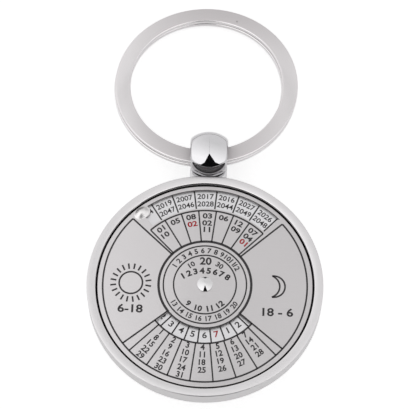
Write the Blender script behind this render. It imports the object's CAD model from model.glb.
"""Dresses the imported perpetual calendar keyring: meshes, finishes, print, studio and camera.

Sizes in the classes are millimetres. They follow the part's source, apart from small fits to the photograph.
Meshes are scaled to metres last. Bearings are degrees clockwise from +Y.
"""

import logging
from dataclasses import dataclass, field
from enum import Enum
from math import asin, atan2, cos, degrees, pi, radians, sin, sqrt, tan
from typing import Optional, Sequence, Union

import bmesh
import bpy
from mathutils import Matrix, Vector


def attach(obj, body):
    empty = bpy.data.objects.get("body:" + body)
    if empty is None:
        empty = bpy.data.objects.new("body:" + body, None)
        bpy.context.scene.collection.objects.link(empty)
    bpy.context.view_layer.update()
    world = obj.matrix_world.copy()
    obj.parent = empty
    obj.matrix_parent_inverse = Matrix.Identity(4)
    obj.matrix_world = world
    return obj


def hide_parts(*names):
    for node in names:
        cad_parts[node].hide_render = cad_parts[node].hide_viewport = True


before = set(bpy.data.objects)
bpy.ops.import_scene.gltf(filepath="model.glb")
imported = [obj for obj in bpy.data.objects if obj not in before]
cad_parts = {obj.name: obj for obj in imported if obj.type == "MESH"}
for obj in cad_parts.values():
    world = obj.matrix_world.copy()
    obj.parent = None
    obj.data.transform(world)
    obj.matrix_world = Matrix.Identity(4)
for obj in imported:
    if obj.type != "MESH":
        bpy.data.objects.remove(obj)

LOG = logging.getLogger("keyring")
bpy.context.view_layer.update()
MM = 0.001
MERGE_DIST = 1e-5
HOLE_STEPS = 32
CUT_SPARE = 1.0
ROUND_STEPS = 256
IMAGE_W, IMAGE_H = 404, 409

Point = tuple[float, float]
Triple = tuple[float, float, float]
Mesh = bmesh.types.BMesh
Tree = bpy.types.NodeTree
Socket = bpy.types.NodeSocket
Value = Union[float, Sequence[float], Socket]

PIVOT = (0.0, 0.0)
UNIT = (0.0, 1.0)


class Body(Enum):
    """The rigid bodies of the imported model."""

    CASE = "case"
    PLATE = "plate"
    RING = "ring"


class Lay(Enum):
    """How the brush lines of a metal run."""

    SIDEWAYS = "sideways"
    OUTWARDS = "outwards"


class Fade(Enum):
    """Where a finish grows paler."""

    LEFT = "left"
    SIDES = "sides"


class Facing(Enum):
    """Which way the tops of printed figures point."""

    OUT = 0.0
    IN = 180.0


def linear(code: str) -> tuple[float, float, float, float]:
    """Turns an sRGB hex colour to linear RGBA.

    Args:
        code: six hex digits, such as "c8c8ca".

    Returns:
        The colour as Blender's sockets take it.
    """
    channels = [int(code[i:i + 2], 16) / 255 for i in (0, 2, 4)]
    red, green, blue = [c / 12.92 if c <= 0.04045 else ((c + 0.055) / 1.055) ** 2.4 for c in channels]
    return red, green, blue, 1.0


def per_mm(size: float) -> float:
    """Texture scale, on Object coordinates in metres, that gives features of a size in millimetres."""
    return 1.0 / (size * MM)


def add_node(tree: Tree, kind: str, values: Optional[dict] = None, **settings: object) -> bpy.types.Node:
    """Adds a shader node with its settings, constants and links.

    Args:
        tree: the node tree.
        kind: Blender's name of the node type.
        values: per input socket, a constant or the output socket that feeds it.
        settings: attributes of the node itself.

    Returns:
        The new node.
    """
    node = tree.nodes.new(kind)
    for name, value in settings.items():
        setattr(node, name, value)
    for socket, value in (values or {}).items():
        if isinstance(value, Socket):
            tree.links.new(value, node.inputs[socket])
        else:
            node.inputs[socket].default_value = value
    return node


def ranged(tree: Tree, value: Value, given: Point = UNIT, result: Sequence[Value] = UNIT) -> Socket:
    """Maps a value from one range to another, and no further.

    Args:
        tree: the node tree.
        value: what is mapped.
        given: the range that it comes in.
        result: the range that it is mapped to.

    Returns:
        The mapped value.
    """
    return add_node(tree, "ShaderNodeMapRange", {
        "Value": value, "From Min": given[0], "From Max": given[1],
        "To Min": result[0], "To Max": result[1]}).outputs[0]


def worked_out(tree: Tree, operation: str, first: Value, second: Value) -> Socket:
    """Joins two values by one of Blender's math operations."""
    return add_node(tree, "ShaderNodeMath", {0: first, 1: second}, operation=operation).outputs[0]


def mixed(tree: Tree, share: Value, first: Value, second: Value) -> Socket:
    """Mixes two colours; a share of 1 is the second alone."""
    values = {"Factor": share, 6: first, 7: second}
    return add_node(tree, "ShaderNodeMix", values, data_type="RGBA").outputs[2]


def blank_tree(owner: Union[bpy.types.Material, bpy.types.World]) -> Tree:
    """Gives a material or a world an empty node tree.

    Args:
        owner: the material or the world.

    Returns:
        Its tree.
    """
    owner.use_nodes = True
    owner.node_tree.nodes.clear()
    return owner.node_tree


def arc(centre: Point, radius: float, start: float, end: float, steps: int) -> list[Point]:
    """Points of a circular arc in a profile plane.

    Args:
        centre: centre of the circle.
        radius: its radius.
        start: first angle in degrees, anticlockwise from the first axis.
        end: last angle in degrees.
        steps: number of chords.

    Returns:
        steps + 1 points.
    """
    angles = [radians(start + (end - start) * i / steps) for i in range(steps + 1)]
    return [(centre[0] + radius * cos(a), centre[1] + radius * sin(a)) for a in angles]


def mirrored(half: Sequence[Point]) -> list[Point]:
    """Puts the mirror image of a half outline, which starts in the middle, before it."""
    return [(r, -x) for r, x in reversed(half)] + list(half[1:])


def smooth(share: float) -> float:
    """Eases from 0 to 1."""
    return share * share * (3 - 2 * share)


def cleaned(bm: Mesh) -> Mesh:
    """Merges the doubles of a shape and turns its normals outwards.

    Args:
        bm: the shape.

    Returns:
        The same bmesh.
    """
    bmesh.ops.remove_doubles(bm, verts=bm.verts, dist=MERGE_DIST)
    bmesh.ops.recalc_face_normals(bm, faces=bm.faces)
    return bm


def lathe(profile: Sequence[Point], steps: int) -> Mesh:
    """Spins a profile of (radius, height) about the Z axis into a closed shell.

    Args:
        profile: the outline; it is closed round if both of its ends lie off the axis.
        steps: facets round the axis.

    Returns:
        A new bmesh with its doubles merged and its normals outwards.
    """
    bm = bmesh.new()
    verts = [bm.verts.new((r, 0, z)) for r, z in profile]
    edges = [bm.edges.new(pair) for pair in zip(verts, verts[1:])]
    if profile[0][0] > 0 and profile[-1][0] > 0:
        edges.append(bm.edges.new((verts[-1], verts[0])))
    bmesh.ops.spin(bm, geom=verts + edges, cent=(0, 0, 0), axis=(0, 0, 1), angle=2 * pi, steps=steps,
                   use_merge=True)
    return cleaned(bm)


def rod(radius: float, low: float, high: float, steps: int = HOLE_STEPS) -> Mesh:
    """A round rod along Z between two heights."""
    return lathe([(0, low), (radius, low), (radius, high), (0, high)], steps)


def block(low: Sequence[float], high: Sequence[float]) -> Mesh:
    """A box between two corners.

    Args:
        low: its lowest corner.
        high: its highest corner.

    Returns:
        A new bmesh.
    """
    bm = bmesh.new()
    bmesh.ops.create_cube(bm, size=1.0)
    low, high = Vector(low), Vector(high)
    return moved(bm, Matrix.Translation((low + high) / 2) @ Matrix.Diagonal(high - low).to_4x4())


def moved(bm: Mesh, matrix: Matrix) -> Mesh:
    """Transforms a whole bmesh and returns it."""
    bmesh.ops.transform(bm, verts=bm.verts, matrix=matrix)
    return bm


def at(x: float, y: float, z: float = 0.0) -> Matrix:
    """Moves a shape along each axis."""
    return Matrix.Translation((x, y, z))


def across(y: float, z: float) -> Matrix:
    """Lays a shape that was spun about Z along the X axis, through (0, y, z)."""
    return at(0, y, z) @ Matrix.Rotation(radians(90), 4, "Y")


def turned(bearing: float, centre: Point = PIVOT) -> Matrix:
    """Turns what points to +Y to a bearing, and puts its origin on a centre."""
    return at(*centre) @ Matrix.Rotation(radians(-bearing), 4, "Z")


def as_object(bm: Mesh, name: str) -> bpy.types.Object:
    """Puts a bmesh into the scene.

    Args:
        bm: the shape; it is freed.
        name: name of the object and its mesh.

    Returns:
        The object.
    """
    mesh = bpy.data.meshes.new(name)
    bm.to_mesh(mesh)
    bm.free()
    obj = bpy.data.objects.new(name, mesh)
    bpy.context.scene.collection.objects.link(obj)
    return obj


def combined(base: Mesh, joins: Sequence[Mesh] = (), cuts: Sequence[Mesh] = ()) -> Mesh:
    """Joins solids to a solid, then cuts others out of it.

    Args:
        base: the first solid.
        joins: solids to add.
        cuts: solids to take away.

    Returns:
        The result as a new bmesh; the given ones are freed.
    """
    target = as_object(base, "scratch")
    tools = [as_object(bm, "scratch") for bm in (*joins, *cuts)]
    for i, tool in enumerate(tools):
        modifier = target.modifiers.new("cut", "BOOLEAN")
        modifier.operation = "UNION" if i < len(joins) else "DIFFERENCE"
        modifier.solver = "EXACT"
        modifier.object = tool
    graph = bpy.context.evaluated_depsgraph_get()
    result = bmesh.new()
    result.from_object(target, graph)
    for obj in [target] + tools:
        mesh = obj.data
        bpy.data.objects.remove(obj)
        bpy.data.meshes.remove(mesh)
    bmesh.ops.remove_doubles(result, verts=result.verts, dist=MERGE_DIST)
    return result


# What the finishes have in common: sizes in millimetres, spans of the noise, and the least roughness
CLOUD_SIZE = 7.0
ROUGH_SPAN = (0.6, 1.4)
TINT_SPAN = (0.7, 1.3)
LEAST_ROUGH = 0.02
COAT_ROUGH = 0.25
RELIEF_SHARE = 0.2
PIT_SPACING = 3.2
PIT_EDGE = (0.04, 0.07)
PIT_COLOUR = "6b6768"
LEFT_REACH = 18.0
SIDES_REACH = 15.0


@dataclass(frozen=True)
class Finish:
    """A material made of nodes on Object coordinates.

    Colours are sRGB hex. The grain is a noise stretched along X by grain_run; a run of 1 is an even mottle. A
    fade turns the colour to the pale one.
    """

    name: str
    colour: str
    metallic: float
    roughness: float
    roughness_swing: float
    grain: float
    grain_run: float = 1.0
    bump: float = 0.0
    tint: float = 0.03
    scuff: float = 0.0
    coat: float = 0.0
    lay: Optional[Lay] = None
    spread: float = 0.0
    fade: Optional[Fade] = None
    pale: str = ""

    def material(self) -> bpy.types.Material:
        """Builds the material, or gives the one that was built before.

        Returns:
            The material.
        """
        known = bpy.data.materials.get(self.name)
        if known:
            return known
        made = bpy.data.materials.new(self.name)
        tree = blank_tree(made)
        where = add_node(tree, "ShaderNodeTexCoord").outputs["Object"]
        scale = per_mm(self.grain)
        stretch = add_node(tree, "ShaderNodeMapping", {
            "Vector": where, "Scale": (scale / self.grain_run, scale, scale)}).outputs["Vector"]
        grain = add_node(tree, "ShaderNodeTexNoise", {
            "Vector": stretch, "Scale": 1.0, "Detail": 4.0}).outputs["Fac"]
        cloud = add_node(tree, "ShaderNodeTexNoise", {
            "Vector": where, "Scale": per_mm(CLOUD_SIZE), "Detail": 2.0}).outputs["Fac"]
        blend = worked_out(tree, "ADD", grain, cloud)
        least = max(self.roughness - self.roughness_swing, LEAST_ROUGH)
        parts = {
            "Base Color": self.tinted(tree, where, blend), "Metallic": self.metallic,
            "Roughness": ranged(tree, blend, ROUGH_SPAN, (least, self.roughness + self.roughness_swing)),
            "Coat Weight": self.coat, "Coat Roughness": COAT_ROUGH, "Anisotropic": self.spread}
        # Highlights spread across the brush lines
        if self.lay is Lay.OUTWARDS:
            parts["Tangent"] = add_node(
                tree, "ShaderNodeTangent", direction_type="RADIAL", axis="Z").outputs[0]
        if self.lay is Lay.SIDEWAYS:
            parts["Tangent"] = add_node(
                tree, "ShaderNodeVectorTransform", {"Vector": (0.0, 1.0, 0.0)},
                vector_type="VECTOR", convert_from="OBJECT", convert_to="WORLD").outputs[0]
        if self.bump:
            parts["Normal"] = add_node(tree, "ShaderNodeBump", {
                "Height": grain, "Strength": self.bump,
                "Distance": self.grain * MM * RELIEF_SHARE}).outputs["Normal"]
        shader = add_node(tree, "ShaderNodeBsdfPrincipled", parts)
        add_node(tree, "ShaderNodeOutputMaterial", {"Surface": shader.outputs["BSDF"]})
        return made

    def tinted(self, tree: Tree, where: Socket, blend: Socket) -> Socket:
        """Varies the colour with the noise, and adds the fade and the small dark pits that the finish has.

        Args:
            tree: the node tree.
            where: Object coordinates.
            blend: the noise.

        Returns:
            The colour.
        """
        base = linear(self.colour)[:3]
        dark = (*(c * (1 - self.tint) for c in base), 1.0)
        light = (*(min(c * (1 + self.tint), 1.0) for c in base), 1.0)
        colour = mixed(tree, ranged(tree, blend, TINT_SPAN), dark, light)
        if self.fade:
            side = add_node(tree, "ShaderNodeSeparateXYZ", {"Vector": where}).outputs["X"]
            span = (LEFT_REACH * MM, -LEFT_REACH * MM)
            if self.fade is Fade.SIDES:
                side = worked_out(tree, "MULTIPLY", side, side)
                span = (0.0, (SIDES_REACH * MM) ** 2)
            colour = mixed(tree, ranged(tree, side, span), colour, linear(self.pale))
        if self.scuff:
            cells = add_node(tree, "ShaderNodeTexVoronoi", {"Vector": where, "Scale": per_mm(PIT_SPACING)})
            pits = ranged(tree, cells.outputs["Distance"], PIT_EDGE, (self.scuff, 0.0))
            colour = mixed(tree, pits, colour, linear(PIT_COLOUR))
        return colour


# Bright nickel-chrome plating on a cast zinc case, tumbled: a soft mirror with a haze from handling
CASE_CHROME = Finish("plated_case_chrome", "d8d6d7", 1.0, 0.31, 0.03, 0.6, tint=0.012)
# The same plating on the turned lip of the well, which stays a clear mirror
LIP_CHROME = Finish("turned_lip_chrome", "dddbdc", 1.0, 0.12, 0.03, 0.6, tint=0.012)
# Bare cast zinc inside the well, which the plating bath doesn't reach: dull and dark, so that the gap
# round the plate reads as a thin black line
WELL_ZINC = Finish("bare_well_zinc", "2f2d2e", 0.6, 0.55, 0.08, 0.3, bump=0.04, tint=0.1)
# Hand-polished chrome on the bail: the sharpest mirror on the object
BAIL_CHROME = Finish("polished_bail_chrome", "d0cfd1", 1.0, 0.055, 0.02, 0.6, tint=0.015)
# Brushed stainless sheet: fine straight lines from side to side, drawn about 0.12 mm wide so that they show
PLATE_STEEL = Finish("brushed_plate_steel", "cac7c8", 1.0, 0.34, 0.04, 0.12, grain_run=45.0, bump=0.05,
                     tint=0.025, lay=Lay.SIDEWAYS, spread=0.85, fade=Fade.LEFT, pale="d4d1d2")
# The embossed pip, rubbed smooth by thumbs: paler and softer than the plate
PIP_STEEL = Finish("rubbed_pip_steel", "e6e4e4", 1.0, 0.42, 0.04, 0.3, bump=0.01, tint=0.02)
# Printed aluminium dial with a clear matte lacquer: paler and flatter than the plate
DIAL_SILVER = Finish("lacquered_dial_silver", "e3e2e4", 0.85, 0.45, 0.05, 0.2, bump=0.02, tint=0.02,
                     coat=0.15)
# Polished rivet head: a small clear mirror
RIVET_STEEL = Finish("polished_rivet_steel", "d6d5d6", 1.0, 0.08, 0.03, 0.4, tint=0.015)
# Tumbled nickel wire: an even satin, brushed outwards, with a slow mottle and a few small pits
BAND_NICKEL = Finish("tumbled_band_nickel", "cbc7c8", 1.0, 0.4, 0.04, 0.5, tint=0.02, scuff=0.5,
                     lay=Lay.OUTWARDS, spread=0.9, fade=Fade.SIDES, pale="e2dfe0")
# Edges of the same wire, rubbed bright by keys
EDGE_NICKEL = Finish("rubbed_edge_nickel", "dedbdc", 1.0, 0.16, 0.03, 0.5, tint=0.02)
# Screen-printed enamel ink: dull and a little uneven
INK_BLACK = Finish("screen_ink_black", "2d2a2c", 0.0, 0.55, 0.1, 0.25, bump=0.02, tint=0.2)
INK_RED = Finish("screen_ink_red", "b8262c", 0.0, 0.55, 0.1, 0.25, bump=0.02, tint=0.12)
# Pieces inside the case, seen only when it is taken apart: milky nylon, yellowish film and dull steel
WASHER_NYLON = Finish("moulded_washer_nylon", "ecebe6", 0.0, 0.5, 0.08, 0.3, bump=0.03)
ADHESIVE_FILM = Finish("cast_adhesive_film", "e6dfc2", 0.0, 0.35, 0.1, 0.6, bump=0.05, tint=0.06)
PIN_STEEL = Finish("turned_pin_steel", "9b999a", 1.0, 0.3, 0.06, 0.1, grain_run=12.0, bump=0.04)


def make_piece(bm: Mesh, name: str, body: Body, finishes: Sequence[Finish],
               stands_for: Sequence[str] = (), crease: float = 32.0) -> None:
    """Turns a bmesh in millimetres into a finished piece that rides on a body.

    Args:
        bm: the shape; it is freed.
        name: name of the piece.
        body: the body that it moves with.
        finishes: its materials, in the order of the faces' material numbers.
        stands_for: CAD nodes that it replaces.
        crease: faces that meet at more than this angle, in degrees, keep a sharp edge.
    """
    obj = as_object(moved(bm, Matrix.Scale(MM, 4)), name)
    for finish in finishes:
        obj.data.materials.append(finish.material())
    obj.data.shade_smooth()
    obj.data.set_sharp_from_angle(angle=radians(crease))
    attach(obj, body.value)
    if stands_for:
        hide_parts(*stands_for)
    LOG.info("%s: %d faces on %s", name, len(obj.data.polygons), body.value)


@dataclass(frozen=True)
class Digits:
    """How a printed number is cut: height and widening of its digits, and weight of its strokes."""

    height: float
    widening: float = 1.0
    weight: float = 0.03


@dataclass(frozen=True)
class Scale:
    """A run of whole numbers in even steps on a circle, whose centre is a rise above the pivot."""

    first: int
    count: int
    step_a: float
    radius: float
    digits: Digits
    facing: Facing = Facing.OUT
    rise: float = 0.0


@dataclass
class InkLayer:
    """Print of one colour on one flat surface: lines and figures drawn flat, then raised as one thin film."""

    level: float
    film: float = 0.012
    least_steps: int = 8
    circle_steps: int = 96
    steps_per_mm: float = 24.0
    bm: Mesh = field(default_factory=bmesh.new)

    def strip(self, radius: float, width: float, start: float, sweep: float, centre: Point = PIVOT) -> None:
        """Draws an arc line.

        Args:
            radius: radius of the line's middle.
            width: its width.
            start: bearing of its first end.
            sweep: degrees that it turns clockwise; 360 closes it.
            centre: centre of the arc.
        """
        place = turned(start, centre)
        ends = [self.bm.verts.new(place @ Vector((0, radius + side * width / 2, 0))) for side in (-1, 1)]
        edge = self.bm.edges.new(ends)
        circle = max(self.circle_steps, self.steps_per_mm * radius)
        steps = max(self.least_steps, round(abs(sweep) / 360 * circle))
        bmesh.ops.spin(self.bm, geom=ends + [edge], cent=(*centre, 0), axis=(0, 0, 1),
                       angle=-radians(sweep), steps=steps, use_merge=abs(sweep) >= 360)

    def ray(self, bearing: float, near: float, far: float, width: float, centre: Point = PIVOT) -> None:
        """Draws a straight radial line.

        Args:
            bearing: where it points.
            near: radius of its inner end.
            far: radius of its outer end.
            width: its width.
            centre: what it points away from.
        """
        made = bmesh.ops.create_grid(self.bm, x_segments=1, y_segments=1, size=0.5)
        middle = at(0, (near + far) / 2)
        matrix = turned(bearing, centre) @ middle @ Matrix.Diagonal((width, far - near, 1, 1))
        bmesh.ops.transform(self.bm, verts=made["verts"], matrix=matrix)

    def figures(self, text: str, place: Matrix, digits: Digits) -> None:
        """Draws a number.

        Args:
            text: its digits.
            place: where the middle of the number goes.
            digits: how they are cut.
        """
        curve = bpy.data.curves.new("figures", "FONT")
        curve.body = text
        curve.align_x = "CENTER"
        curve.resolution_u = 3
        curve.offset = digits.weight
        obj = bpy.data.objects.new("figures", curve)
        bpy.context.scene.collection.objects.link(obj)
        graph = bpy.context.evaluated_depsgraph_get()
        mesh = bpy.data.meshes.new_from_object(obj.evaluated_get(graph))
        bpy.data.objects.remove(obj)
        bpy.data.curves.remove(curve)
        xs = [v.co.x for v in mesh.vertices]
        ys = [v.co.y for v in mesh.vertices]
        scale = digits.height / (max(ys) - min(ys))
        middle = at(-(max(xs) + min(xs)) / 2, -(max(ys) + min(ys)) / 2)
        mesh.transform(place @ Matrix.Diagonal((scale * digits.widening, scale, 1, 1)) @ middle)
        self.bm.from_mesh(mesh)
        bpy.data.meshes.remove(mesh)

    def round_figures(self, text: str, bearing: float, radius: float, digits: Digits,
                      facing: Facing = Facing.OUT, rise: float = 0.0) -> None:
        """Draws a number on a circle round the pivot.

        Args:
            text: its digits.
            bearing: place on the circle.
            radius: radius of the circle.
            digits: how they are cut.
            facing: which way the tops point.
            rise: how far above the pivot the circle's centre is.
        """
        place = turned(bearing, (0.0, rise)) @ at(0, radius)
        self.figures(text, place @ turned(facing.value), digits)

    def scale(self, run: Scale) -> None:
        """Draws a run of numbers, from left to right.

        Args:
            run: the numbers and their places.
        """
        for i in range(run.count):
            bearing = run.step_a * (i - (run.count - 1) / 2)
            if run.facing is Facing.IN:
                bearing = 180 - bearing
            self.round_figures(str(run.first + i), bearing, run.radius, run.digits, run.facing, run.rise)

    def raised(self) -> Mesh:
        """Gives the film its thickness and puts it on its surface.

        Returns:
            The film.
        """
        bmesh.ops.remove_doubles(self.bm, verts=self.bm.verts, dist=MERGE_DIST)
        made = bmesh.ops.extrude_face_region(self.bm, geom=self.bm.faces[:], use_keep_orig=True)
        top = [g for g in made["geom"] if isinstance(g, bmesh.types.BMVert)]
        bmesh.ops.translate(self.bm, verts=top, vec=(0, 0, self.film))
        bmesh.ops.translate(self.bm, verts=self.bm.verts, vec=(0, 0, self.level))
        bmesh.ops.recalc_face_normals(self.bm, faces=self.bm.faces)
        return self.bm


@dataclass
class Case:
    """The round cast case with its domed rim, and the pocket and holes that the rest is seated in."""

    radius: float = 20.0
    well_r: float = 18.33
    wall_tilt: float = 25.0
    floor_t: float = 2.53
    bare_below: float = 3.25
    bare_above: float = 0.05
    bare_margin: float = 0.01
    crest_z: float = 3.92
    dome_r: float = 2.3
    crest_at: float = 19.4
    lip_at: float = 18.67
    lip_r: float = 0.16
    shoulder_r: float = 0.2
    back_edge_r: float = 0.8
    pocket_low: Triple = (-2.62, 13.48, 0.89)
    pocket_high: Triple = (2.62, 20.1, 2.5305)
    socket: Triple = (0.0, 0.77, 0.35)
    pin_hole: Triple = (15.5, 0.82, 0.15)

    def profile(self) -> list[Point]:
        """Outline of the case from the middle of its back round to the middle of its floor.

        Returns:
            Points of (radius, height).
        """
        dome = (self.crest_at, self.crest_z - self.dome_r)
        side = self.radius - self.shoulder_r
        rise = sqrt((self.dome_r - self.shoulder_r) ** 2 - (side - dome[0]) ** 2)
        shoulder = (side, dome[1] + rise)
        turn = degrees(atan2(rise, side - dome[0]))
        drop = sqrt((self.dome_r - self.lip_r) ** 2 - (self.lip_at - dome[0]) ** 2)
        lip = (self.lip_at, dome[1] + drop)
        roll = degrees(atan2(drop, self.lip_at - dome[0]))
        edge = (self.radius - self.back_edge_r, self.back_edge_r)
        points = [(0.0, 0.0), (edge[0] * 0.5, 0.0)]
        points += arc(edge, self.back_edge_r, -90, 0, 10)
        points += [(self.radius, (self.back_edge_r + shoulder[1]) / 2)]
        points += arc(shoulder, self.shoulder_r, 0, turn, 10)
        points += arc(dome, self.dome_r, turn, roll, 18)[1:]
        points += arc(lip, self.lip_r, roll, 180 - self.wall_tilt, 10)[1:]
        points += [(self.well_r, self.bare_below), (self.well_r, self.floor_t)]
        points += [(self.well_r * 0.5, self.floor_t), (0.0, self.floor_t)]
        return points

    def build(self) -> None:
        """Makes the case."""
        cuts = [block(self.pocket_low, self.pocket_high)]
        for y, radius, low in (self.socket, self.pin_hole):
            cuts.append(moved(rod(radius, low, self.floor_t + CUT_SPARE), at(0, y)))
        shell = combined(lathe(self.profile(), ROUND_STEPS), cuts=cuts)
        for face in shell.faces:
            middle = face.calc_center_median()
            out = middle.xy.length
            inside = out < self.well_r + self.bare_margin and self.bare_above < middle.z < self.bare_below
            lip = out < self.lip_at and middle.z > self.bare_below
            face.material_index = 1 if inside else 2 if lip else 0
        make_piece(shell, "case_shell", Body.CASE, [CASE_CHROME, WELL_ZINC, LIP_CHROME],
                   ["case_body"], crease=38.0)


@dataclass
class Bail:
    """The bail: a bead with rounded edges, its flared hole for the ring, the neck and the tongue."""

    ball: Point = (24.05, 3.95)
    ball_r: float = 3.95
    crown_r: float = 4.9
    width: float = 6.6
    edge_r: float = 1.05
    shift: float = -0.1
    hole: Point = (23.6, 3.7)
    hole_r: float = 2.1
    flare: float = 0.65
    throat_r: float = 0.5
    mouth_spare: float = 0.6
    neck_low: Triple = (-3.2, 18.0, 0.91)
    neck_high: Triple = (3.2, 23.6, 3.286)
    neck_edge_r: float = 0.35
    tongue_low: Triple = (-2.6, 13.5, 0.9104)
    tongue_high: Triple = (2.6, 22.6, 2.51)
    case_gap_r: float = 20.02
    case_gap_z: Point = (-1.0, 9.0)
    pin_y: float = 15.5
    pin_hole_r: float = 0.82
    pin_hole_z: Point = (0.0, 4.0)
    ball_steps: int = 160
    hole_steps: int = 96

    def ball_profile(self) -> list[Point]:
        """Outline of the bead: a crown that turns down in rounded edges.

        Returns:
            Points of (radius, place along X).
        """
        edge_x = (self.width / 2 - self.edge_r) / (1 - self.edge_r / self.crown_r)
        turn = asin(edge_x / self.crown_r)
        middle = self.ball_r - self.crown_r
        inner_r = self.crown_r - self.edge_r
        edge = (middle + inner_r * cos(turn), inner_r * sin(turn))
        half = arc((middle, 0), self.crown_r, 0, degrees(turn), 24)
        half += arc(edge, self.edge_r, degrees(turn), 90, 10)[1:]
        return mirrored(half + [(0.0, self.width / 2)])

    def hole_profile(self) -> list[Point]:
        """Outline of the hole's cutter, which opens at 45 degrees at the mouths after a rounded throat.

        Returns:
            Points of (radius, place along X).
        """
        reach = self.throat_r * tan(radians(22.5))
        bend = (self.hole_r + self.throat_r, self.width / 2 - self.flare - reach)
        mouth = self.width / 2 + self.mouth_spare
        half = [(self.hole_r, 0.0)] + arc(bend, self.throat_r, 180, 135, 6)
        half += [(self.hole_r + self.flare + self.mouth_spare, mouth), (0.0, mouth)]
        return mirrored(half)

    def build(self) -> None:
        """Makes the bail."""
        neck = block(self.neck_low, self.neck_high)
        along = [e for e in neck.edges if abs(e.verts[0].co.y - e.verts[1].co.y) > 1]
        bmesh.ops.bevel(neck, geom=along, offset=self.neck_edge_r, offset_type="OFFSET", affect="EDGES",
                        segments=5, profile=0.5, material=-1)
        neck = combined(neck, cuts=[rod(self.case_gap_r, *self.case_gap_z, ROUND_STEPS)])
        tongue = block(self.tongue_low, self.tongue_high)
        hole = moved(lathe(self.hole_profile(), self.hole_steps), across(*self.hole))
        pin_hole = moved(rod(self.pin_hole_r, *self.pin_hole_z), at(0, self.pin_y))
        ball = moved(lathe(self.ball_profile(), self.ball_steps), across(*self.ball))
        solid = moved(combined(ball, [neck, tongue], [hole, pin_hole]), at(self.shift, 0))
        make_piece(solid, "ball_bail", Body.CASE, [BAIL_CHROME], ["bail"], crease=30.0)


@dataclass
class SplitRing:
    """The flat wire wound twice; its lower coil has slipped a little, and its ends lie in the bail."""

    middle_r: float = 14.875
    width: float = 2.75
    coil_t: float = 0.8
    coil_pitch: float = 0.84
    top_round: float = 0.22
    low_round: float = 0.06
    crown: float = 0.1
    slip: Point = (-0.16, -0.05)
    climb_a: float = 16.0
    end_gap_a: float = 1.5
    split_a: float = -8.0
    yaw: float = 4.0
    droop: float = 4.88
    reach: float = 14.701
    hinge: Triple = (0.0, 23.6, 3.7)
    level_steps: int = 150
    climb_steps: int = 20
    flat_above: float = 0.95

    def section(self) -> list[Point]:
        """Outline of the wire, crowned and rounded at its upper edges.

        Returns:
            Points of (outwards, up) from the middle of the band.
        """
        half, top = self.width / 2, self.coil_t / 2
        shelf = half - self.top_round
        bend_z = top - self.crown * (shelf / half) ** 2 - self.top_round
        foot = (half - self.low_round, -top + self.low_round)
        outline = arc((shelf, bend_z), self.top_round, 0, 84, 6)
        top_xs = [shelf * (1 - i / 5) for i in range(1, 10)]
        outline += [(x, top - self.crown * (x / half) ** 2) for x in top_xs]
        outline += arc((-shelf, bend_z), self.top_round, 96, 180, 6)
        outline += arc((-foot[0], foot[1]), self.low_round, 180, 270, 3)
        outline += arc(foot, self.low_round, 270, 360, 3)
        return outline

    def build(self) -> None:
        """Winds the wire: a level turn, the climb to the upper coil in short steps, and a level turn."""
        level_a = 360 - self.end_gap_a - self.climb_a
        turn = self.split_a - 90 - level_a
        slip = turned(turn) @ Vector((*self.slip, -self.coil_pitch))
        middle = Vector((slip.x, slip.y, 0))
        bm = bmesh.new()
        start = middle + Vector((self.middle_r, 0, -self.coil_pitch / 2))
        end = [bm.faces.new([bm.verts.new(start + Vector((x, 0, z))) for x, z in self.section()])]
        rises = [smooth(i / self.climb_steps) for i in range(self.climb_steps + 1)]
        turns = [(level_a, self.level_steps, 0.0)]
        turns += [(self.climb_a / self.climb_steps, 1, b - a) for a, b in zip(rises, rises[1:])]
        turns += [(level_a - self.end_gap_a, self.level_steps, 0.0)]
        for angle, steps, share in turns:
            edges = list({e for f in end for e in f.edges})
            corners = list({v for f in end for v in f.verts})
            made = bmesh.ops.spin(bm, geom=corners + edges + end, cent=middle, axis=(0, 0, 1),
                                  dvec=-slip * share, angle=radians(angle), steps=steps)
            middle = middle - Vector((slip.x, slip.y, 0)) * share
            end = [g for g in made["geom_last"] if isinstance(g, bmesh.types.BMFace)]
        for face in cleaned(bm).faces:
            face.material_index = int(abs(face.normal.z) < self.flat_above)
        droop = Matrix.Rotation(radians(-self.droop), 4, "X")
        moved(bm, at(*self.hinge) @ turned(-self.yaw) @ droop @ at(0, self.reach) @ turned(-turn))
        make_piece(bm, "flat_split_ring", Body.RING, [BAND_NICKEL, EDGE_NICKEL],
                   ["split_ring"], crease=40.0)


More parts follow.
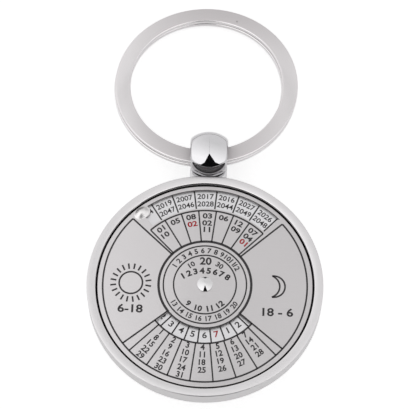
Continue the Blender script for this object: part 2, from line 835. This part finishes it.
@dataclass
class CalendarPlate:
    """The turning plate: two windows, the thumb pip, a faint dish round the rivet, and its print.

    A window is its inner radius, its outer radius and half its angle. Months that start with a star are red.
    """

    radius: float = 18.18
    low: float = 3.05
    top: float = 3.35
    edge_r: float = 0.06
    edge_margin: float = 0.02
    pivot_r: float = 0.8
    dish_r: float = 2.3
    dish_rise: float = 0.01
    dish_steps: int = 16
    year_window: Triple = (14.0, 17.39, 44.5)
    year_start: float = -41.5
    corner_half_a: float = 3.0
    day_window: Triple = (7.95, 10.4, 49.4)
    pip_place: Point = (17.05, -39.96)
    pip_r: float = 1.05
    pip_h: float = 0.7
    pip_sink: float = 0.2
    pip_swell: float = 1.35
    pip_run: float = 1.4
    pip_shift: float = -0.4
    pip_border: float = 0.05
    pip_steps: int = 18
    column_a: float = 360 / 28
    line: float = 0.29
    thin_line: float = 0.25
    hair_line: float = 0.13
    bold_line: float = 0.42
    outer_circle: float = 17.28
    month_circle: float = 13.62
    date_circle: float = 10.55
    date_line_from: float = 10.5
    middle_circle: float = 7.84
    panel_line_from: float = 7.9
    scale_circles: Point = (7.03, 5.3)
    year_hair: Triple = (17.46, -36.5, 81.5)
    panels: Sequence[float] = (-47.5, 48.2, 129.8, 230.6)
    months: Sequence[Sequence[str]] = (("01", "10"), ("05",), ("08", "*02"), ("03", "02", "11"), ("06",),
                                       ("12", "09"), ("07", "04", "*01"))
    month_rows: Triple = (12.62, 11.3, 10.1)
    month_digits: Digits = Digits(1.0, 1.3)
    last_date: int = 31
    date_rows: Sequence[float] = (11.2, 12.5, 13.85, 15.2, 16.5)
    date_digits: Digits = Digits(1.05)
    scales: Sequence[Scale] = (
        Scale(1, 12, 10.6, 6.16, Digits(0.95, 1.05)),
        Scale(13, 8, 15.6, 6.16, Digits(0.95), Facing.IN),
        Scale(1, 8, 9.2, 7.1, Digits(1.1, 1.15, 0.04), rise=-4.6),
        Scale(9, 4, 25.0, 4.4, Digits(1.05, 1.1, 0.04), Facing.IN))
    tens: Sequence[tuple[str, float, float]] = (("10", -34, 0.95), ("20", 0, 1.4), ("30", 34, 0.95))
    tens_r: float = 4.25
    tens_widening: float = 1.1
    sun: Point = (-12.53, -0.1)
    sun_r: float = 1.97
    sun_rays: int = 20
    sun_ray: Point = (2.5, 3.5)
    moon: Point = (12.35, 0.0)
    moon_half: float = 1.9
    moon_bulges: Point = (2.2, 1.3)
    moon_back: float = 1.0
    hours: Sequence[tuple[str, float, float]] = (("6-18", -12.42, -4.72), ("18 - 6", 12.4, -4.6))
    hour_digits: Digits = Digits(1.5, 1.2, 0.025)

    def window(self, near: float, far: float, half_a: float) -> Mesh:
        """A cutter for a curved window about +Y.

        Args:
            near: its inner radius.
            far: its outer radius.
            half_a: half its angle.

        Returns:
            A new bmesh.
        """
        bm = bmesh.new()
        low, high = self.low - CUT_SPARE, self.top + CUT_SPARE
        corners = [bm.verts.new(turned(-half_a) @ Vector((0, r, z)))
                   for r, z in ((near, low), (far, low), (far, high), (near, high))]
        face = bm.faces.new(corners)
        bmesh.ops.spin(bm, geom=corners + face.edges[:] + [face], cent=(0, 0, 0), axis=(0, 0, 1),
                       angle=-radians(2 * half_a), steps=72)
        return cleaned(bm)

    def sheet_profile(self) -> list[Point]:
        """Outline of the round sheet, from the pivot hole's foot round to its top.

        Returns:
            Points of (radius, height).
        """
        shares = [i / self.dish_steps for i in range(self.dish_steps + 1)]
        dish = [(self.pivot_r + (self.dish_r - self.pivot_r) * s, self.top + self.dish_rise * (1 - smooth(s)))
                for s in shares]
        edge = arc((self.radius - self.edge_r, self.top - self.edge_r), self.edge_r, 0, 90, 4)
        return [(self.pivot_r, self.low), (self.radius, self.low)] + edge + dish[::-1]

    def pip_profile(self) -> list[Point]:
        """Outline of the thumb pip: a dome that flows into the sheet at its foot.

        Returns:
            Points of (radius, height).
        """
        shares = [i / self.pip_steps for i in range(self.pip_steps + 1)]
        crown = [(self.pip_r * (1 - s), self.top + self.pip_h * sin(pi / 2 * s) ** self.pip_swell)
                 for s in shares]
        foot_z = self.top - self.pip_sink
        return [(0.0, foot_z), (self.pip_r, foot_z)] + crown

    def pip_matrix(self) -> Matrix:
        """Where the pip stands."""
        return turned(self.pip_place[1]) @ at(0, self.pip_place[0])

    def sheet(self) -> Mesh:
        """Cuts the windows into the sheet, leaving room for the pip.

        Returns:
            A new bmesh.
        """
        past = 2 * CUT_SPARE
        rest_r = self.pip_r + self.pip_border
        rest = moved(rod(rest_r, self.low - past, self.top + past, 64), self.pip_matrix())
        corner = self.window(self.year_window[0] - CUT_SPARE, self.radius + CUT_SPARE,
                             self.corner_half_a)
        moved(corner, turned(self.year_start - self.corner_half_a))
        years = combined(self.window(*self.year_window), cuts=[rest, corner])
        days = moved(self.window(*self.day_window), turned(180))
        return combined(lathe(self.sheet_profile(), 240), cuts=[years, days])

    def build(self) -> None:
        """Makes the plate and its print."""
        sheet = self.sheet()
        for face in sheet.faces:
            at_edge = face.calc_center_median().xy.length > self.radius - self.edge_margin
            face.material_index = 2 if at_edge else 0
        place = self.pip_matrix() @ at(self.pip_shift, 0) @ Matrix.Diagonal((self.pip_run, 1, 1, 1))
        pip = moved(lathe(self.pip_profile(), 48), place)
        for face in pip.faces:
            face.material_index = 1
        mesh = bpy.data.meshes.new("scratch")
        pip.to_mesh(mesh)
        pip.free()
        sheet.from_mesh(mesh)
        bpy.data.meshes.remove(mesh)
        make_piece(sheet, "brushed_plate", Body.PLATE, [PLATE_STEEL, PIP_STEEL, WELL_ZINC],
                   ["calendar_plate"], crease=30.0)
        black, red = InkLayer(self.top), InkLayer(self.top)
        self.print_lines(black)
        self.print_numbers(black, red)
        make_piece(black.raised(), "plate_print_black", Body.PLATE, [INK_BLACK], crease=60.0)
        make_piece(red.raised(), "plate_print_red", Body.PLATE, [INK_RED], crease=60.0)

    def print_lines(self, ink: InkLayer) -> None:
        """Prints the circles, the lines between the panels, the sun and the crescent.

        Args:
            ink: the layer to print on.
        """
        upper_left, upper_right, lower_right, lower_left = self.panels
        day_a = self.day_window[2]
        ink.strip(self.outer_circle, self.line, upper_right, 360 + upper_left - upper_right)
        ink.strip(self.year_hair[0], self.hair_line, *self.year_hair[1:])
        ink.strip(self.month_circle, self.line, -3.5 * self.column_a, 7 * self.column_a)
        ink.strip(self.date_circle, self.line, lower_right, lower_left - lower_right)
        ink.strip(self.middle_circle, self.bold_line, -180 + day_a, 360 - 2 * day_a)
        ink.strip(self.middle_circle, self.thin_line, 180 - day_a, 2 * day_a)
        for radius in self.scale_circles:
            ink.strip(radius, self.thin_line, 0, 360)
        for bearing in self.panels:
            ink.ray(bearing, self.panel_line_from, self.outer_circle, self.line)
        for i in range(8):
            bearing = (i - 3.5) * self.column_a
            ink.ray(bearing, self.middle_circle, self.month_circle, self.thin_line)
            ink.ray(180 + bearing, self.date_line_from, self.outer_circle, self.thin_line)
        ink.strip(self.sun_r, self.line, 0, 360, self.sun)
        step = 360 / self.sun_rays
        for i in range(self.sun_rays):
            ink.ray(step * i + step / 2, *self.sun_ray, self.line, self.sun)
        for bulge in self.moon_bulges:
            radius = (bulge ** 2 + self.moon_half ** 2) / (2 * bulge)
            open_a = degrees(asin(min(self.moon_half / radius, 1.0)))
            open_a = 180 - open_a if bulge > radius else open_a
            centre = (self.moon[0] - self.moon_back + bulge - radius, self.moon[1])
            ink.strip(radius, self.line, 90 - open_a, 2 * open_a, centre)

    def print_numbers(self, black: InkLayer, red: InkLayer) -> None:
        """Prints the months as numbers, the dates, plain scales round the rivet, and the hours.

        Args:
            black: the black layer.
            red: the red layer, for the months of leap years.
        """
        for i, column in enumerate(self.months):
            for radius, number in zip(self.month_rows, column):
                ink = red if number.startswith("*") else black
                ink.round_figures(number.strip("*"), (i - 3) * self.column_a, radius, self.month_digits)
        for date in range(1, self.last_date + 1):
            row, column = divmod(date - 1, 7)
            bearing = 180 - (column - 3) * self.column_a
            black.round_figures(str(date), bearing, self.date_rows[row], self.date_digits, Facing.IN)
        for run in self.scales:
            black.scale(run)
        for number, bearing, height in self.tens:
            black.round_figures(number, bearing, self.tens_r, Digits(height, self.tens_widening))
        for number, x, y in self.hours:
            black.figures(number, at(x, y), self.hour_digits)


@dataclass
class Dial:
    """The fixed dial's print: years in 28 columns, and weekdays in four rounds of seven."""

    top: float = 2.93
    columns: int = 28
    lag: float = 1.5
    line: float = 0.25
    first_year: int = 2007
    last_year: int = 2056
    shown: Sequence[Sequence[int]] = ((2014,), (2019, 2047), (2007, 2046), (2017, 2028), (2016, 2044),
                                      (2027, 2049), (2026, 2048))
    year_rows: Point = (16.45, 15.05)
    year_line: Point = (13.6, 17.6)
    year_digits: Digits = Digits(0.98, 1.08, 0.018)
    top_day: int = 5
    red_day: int = 7
    day_r: float = 8.95
    day_line: Point = (7.6, 10.5)
    day_digits: Digits = Digits(1.1, 1.15, 0.02)

    def year_columns(self) -> list[list[int]]:
        """Sorts the years into columns clockwise from the top, by the weekday that they start on.

        Returns:
            Up to two years per column.
        """
        columns: list[list[int]] = [[] for _ in range(self.columns)]
        used = set()
        for i, pair in enumerate(self.shown):
            columns[(i - 3) % self.columns] = list(pair)
            used.update(pair)
        for year in range(self.first_year, self.last_year + 1):
            short = year - 2000
            code = (short + short // 4) % 7
            room = [j for j in range(self.columns) if (-j) % 7 == code and len(columns[j]) < 2]
            if year not in used and room:
                columns[room[0]].append(year)
        return columns

    def build(self) -> None:
        """Prints the dial."""
        black, red = InkLayer(self.top), InkLayer(self.top)
        step = 360 / self.columns
        for j, years in enumerate(self.year_columns()):
            bearing = j * step - self.lag
            black.ray(bearing + step / 2, *self.year_line, self.line)
            for radius, year in zip(self.year_rows, years):
                black.round_figures(str(year), bearing, radius, self.year_digits)
            day = (self.top_day + j) % 7 + 1
            ink = red if day == self.red_day else black
            below = 180 - j * step - self.lag
            ink.round_figures(str(day), below, self.day_r, self.day_digits, Facing.IN)
            black.ray(below + step / 2, *self.day_line, self.line)
        make_piece(black.raised(), "dial_print_black", Body.CASE, [INK_BLACK], crease=60.0)
        make_piece(red.raised(), "dial_print_red", Body.CASE, [INK_RED], crease=60.0)


@dataclass
class Rivet:
    """The pivot rivet: a head that rises to a soft point, and its shank."""

    foot_z: float = 3.37
    head_r: float = 1.3
    head_h: float = 0.7
    side_h: float = 0.12
    point: float = 1.55
    shank_r: float = 0.75
    shank_low: float = 0.35
    crown_steps: int = 32

    def build(self) -> None:
        """Makes the rivet."""
        rise = self.head_h - self.side_h
        shares = [1 - i / self.crown_steps for i in range(self.crown_steps + 1)]
        crown = [(self.head_r * s, self.foot_z + self.side_h + rise * (1 - s ** self.point)) for s in shares]
        shank = [(0.0, self.shank_low), (self.shank_r, self.shank_low), (self.shank_r, self.foot_z)]
        make_piece(lathe(shank + [(self.head_r, self.foot_z)] + crown, 96), "domed_rivet", Body.CASE,
                   [RIVET_STEEL], ["pivot_rivet"])


def dress_nodes() -> None:
    """Gives the CAD nodes that stay their finishes."""
    kept = {"year_dial": DIAL_SILVER, "friction_washer": WASHER_NYLON, "dial_adhesive": ADHESIVE_FILM,
            "bail_pin": PIN_STEEL}
    for name, finish in kept.items():
        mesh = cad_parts[name].data
        mesh.materials.clear()
        mesh.materials.append(finish.material())
        LOG.info("%s: %s", name, finish.name)


@dataclass
class Studio:
    """The white sweep, a surround and dark cards for the metal to reflect, and the camera.

    Outlines of cards are (x, z) in millimetres, and the seam's are (y, z).
    """

    azimuth: float = 2.0
    elevation: float = 66.123
    distance: float = 310.0
    focal_px: float = 1793.2
    target: Triple = (-1.021, 15.124, 2.47)
    sensor_mm: float = 36.0
    clip_m: float = 0.005
    bright_side: Triple = (-0.35, -0.86, -0.37)
    bright_span: Point = (-0.9, 0.45)
    gloss_span: Point = (0.9, 1.48)
    second_gloss: float = 0.75
    light_level: float = 0.55
    floor_half_m: float = 1.5
    floor_grey: float = 0.8
    floor_gloss: float = 0.45
    floor_glow: float = 0.62
    card_y: float = -85.0
    card_colour: str = "1a1a1b"
    gap: Sequence[Point] = ((-120, 0.5), (165, 0.5), (86, 13), (54, 50), (6, 290), (-33, 50), (-58, 13))
    seam: Sequence[Point] = ((-85, 280), (-70, 340), (900, 340))
    seam_x: float = 6.0
    seam_w: float = 2.2
    deep_y: float = -86.0
    deep: Sequence[Point] = ((-300, 0.5), (300, 0.5), (300, 260), (-300, 260))

    def world(self) -> None:
        """A surround: white to the eye, brighter in the metal towards the front, and softer as a light."""
        world = bpy.data.worlds.new("surround")
        bpy.context.scene.world = world
        tree = blank_tree(world)
        way = add_node(tree, "ShaderNodeTexCoord").outputs["Generated"]
        front = add_node(tree, "ShaderNodeVectorMath", {0: way, 1: self.bright_side}, operation="DOT_PRODUCT")
        path = add_node(tree, "ShaderNodeLightPath").outputs
        gloss = ranged(tree, front.outputs["Value"], self.bright_span, self.gloss_span)
        dimmed = ranged(tree, path["Glossy Depth"], (1.0, 2.0), (1.0, self.second_gloss))
        worn = worked_out(tree, "MULTIPLY", gloss, dimmed)
        metal = ranged(tree, path["Is Glossy Ray"], result=(self.light_level, worn))
        seen = worked_out(tree, "MAXIMUM", path["Is Camera Ray"], path["Is Transmission Ray"])
        level = ranged(tree, seen, result=(metal, 1.0))
        back = add_node(tree, "ShaderNodeBackground", {"Color": (1, 1, 1, 1), "Strength": level})
        add_node(tree, "ShaderNodeOutputWorld", {"Surface": back.outputs[0]})

    def floor(self) -> None:
        """A pale matte floor that looks white where it isn't in shadow."""
        bm = bmesh.new()
        bmesh.ops.create_grid(bm, x_segments=1, y_segments=1, size=self.floor_half_m)
        made = bpy.data.materials.new("white_sweep")
        tree = blank_tree(made)
        matte = add_node(tree, "ShaderNodeBsdfDiffuse", {"Color": (*[self.floor_grey] * 3, 1)})
        path = add_node(tree, "ShaderNodeLightPath").outputs
        metal = ranged(tree, path["Is Glossy Ray"], result=(0.0, self.floor_gloss))
        glow = ranged(tree, path["Is Camera Ray"], result=(metal, self.floor_glow))
        light = add_node(tree, "ShaderNodeEmission", {"Color": (1, 1, 1, 1), "Strength": glow})
        both = add_node(tree, "ShaderNodeAddShader", {0: matte.outputs[0], 1: light.outputs[0]})
        add_node(tree, "ShaderNodeOutputMaterial", {"Surface": both.outputs[0]})
        obj = as_object(bm, "floor")
        obj.data.materials.append(made)

    def cards(self) -> None:
        """Makes the dark cards in front, out of the camera's sight, that only the metal reflects.

        The wedge stands on a low strip, and the seam runs on from its point overhead. The deep card shows in
        the second reflection alone, as in the hollow under the bail.
        """
        wedge = [(x, self.card_y, z) for x, z in self.gap]
        lines = [[(self.seam_x + side * self.seam_w / 2, y, z) for side in (-1, 1)] for y, z in self.seam]
        seam = [a + b[::-1] for a, b in zip(lines, lines[1:])]
        deep = [(x, self.deep_y, z) for x, z in self.deep]
        for name, faces, first in (("dark_card", [wedge] + seam, 1.0), ("deep_card", [deep], 0.0)):
            bm = bmesh.new()
            for face in faces:
                bm.faces.new([bm.verts.new(Vector(corner) * MM) for corner in face])
            made = bpy.data.materials.new("black_" + name)
            tree = blank_tree(made)
            depth = add_node(tree, "ShaderNodeLightPath").outputs["Glossy Depth"]
            share = ranged(tree, depth, (1.0, 2.0), (first, 1.0))
            matte = add_node(tree, "ShaderNodeBsdfDiffuse", {"Color": linear(self.card_colour)})
            clear = add_node(tree, "ShaderNodeBsdfTransparent")
            both = add_node(tree, "ShaderNodeMixShader", {0: share, 1: clear.outputs[0], 2: matte.outputs[0]})
            add_node(tree, "ShaderNodeOutputMaterial", {"Surface": both.outputs[0]})
            obj = as_object(bm, name)
            obj.data.materials.append(made)
            obj.visible_camera = False
            obj.visible_diffuse = False
            obj.visible_shadow = False

    def camera(self) -> None:
        """Sets the camera at the photograph's angle."""
        data = bpy.data.cameras.new("camera")
        data.sensor_width = self.sensor_mm
        data.lens = self.focal_px * self.sensor_mm / max(IMAGE_W, IMAGE_H)
        data.clip_start = self.clip_m
        obj = bpy.data.objects.new("camera", data)
        a, e = radians(self.azimuth), radians(self.elevation)
        back = Vector((sin(a) * cos(e), -cos(a) * cos(e), sin(e)))
        obj.location = (Vector(self.target) + back * self.distance) * MM
        obj.rotation_euler = (pi / 2 - e, 0, a)
        bpy.context.scene.collection.objects.link(obj)
        bpy.context.scene.camera = obj

    def build(self) -> None:
        """Makes the studio."""
        self.camera()
        self.world()
        self.floor()
        self.cards()
        bpy.context.scene.view_settings.view_transform = "Standard"


def main() -> None:
    """Builds the studio, then each sub-assembly in turn."""
    logging.basicConfig(level=logging.INFO, format="%(message)s")
    Studio().build()
    dress_nodes()
    for part in (Case(), Bail(), SplitRing(), CalendarPlate(), Dial(), Rivet()):
        part.build()


if __name__ == "__main__":
    main()
